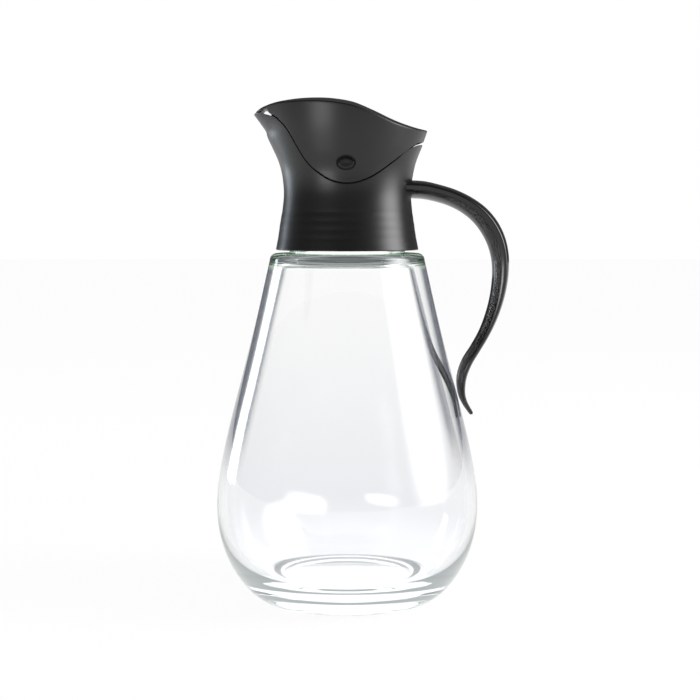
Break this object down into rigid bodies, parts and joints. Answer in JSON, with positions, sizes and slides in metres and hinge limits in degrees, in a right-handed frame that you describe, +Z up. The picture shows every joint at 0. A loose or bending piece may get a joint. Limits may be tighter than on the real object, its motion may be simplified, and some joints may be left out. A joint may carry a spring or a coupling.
{
  "type": "syrup dispenser",
  "caption": "Pear-shaped clear glass syrup bottle with a black pouring head, a pivoting lid over the spout and an S-curved hook handle.",
  "frame": {"origin": "centre of the bottle's foot, on the plane it stands on and on the bottle's turning axis", "axes": "+Z up along the bottle's axis; +X towards the handle, -X towards the spout; Y across, along the lid's pivot"},
  "size_m": [0.1044, 0.0936, 0.1778],
  "materials": {
    "clear_glass": "clear, thick, polished, faintly green at the edges",
    "black_head_plastic": "satin black moulded plastic",
    "black_gloss_plastic": "glossy black moulded plastic"
  },
  "bodies": {
    "base": {"glass_bottle": "clear_glass", "pour_collar": "black_head_plastic", "handle": "black_gloss_plastic"},
    "lid": {"flap_lid": "black_head_plastic", "pivot_button_front": "black_head_plastic", "pivot_button_back": "black_head_plastic"}
  },
  "joints": [
    {"name": "lid_tilt", "type": "hinge", "parent": "base", "child": "lid", "pos_m": [-0.00035, 0, 0.15425], "axis": [0, 1, 0], "range_deg": [0, 8]}
  ]
}
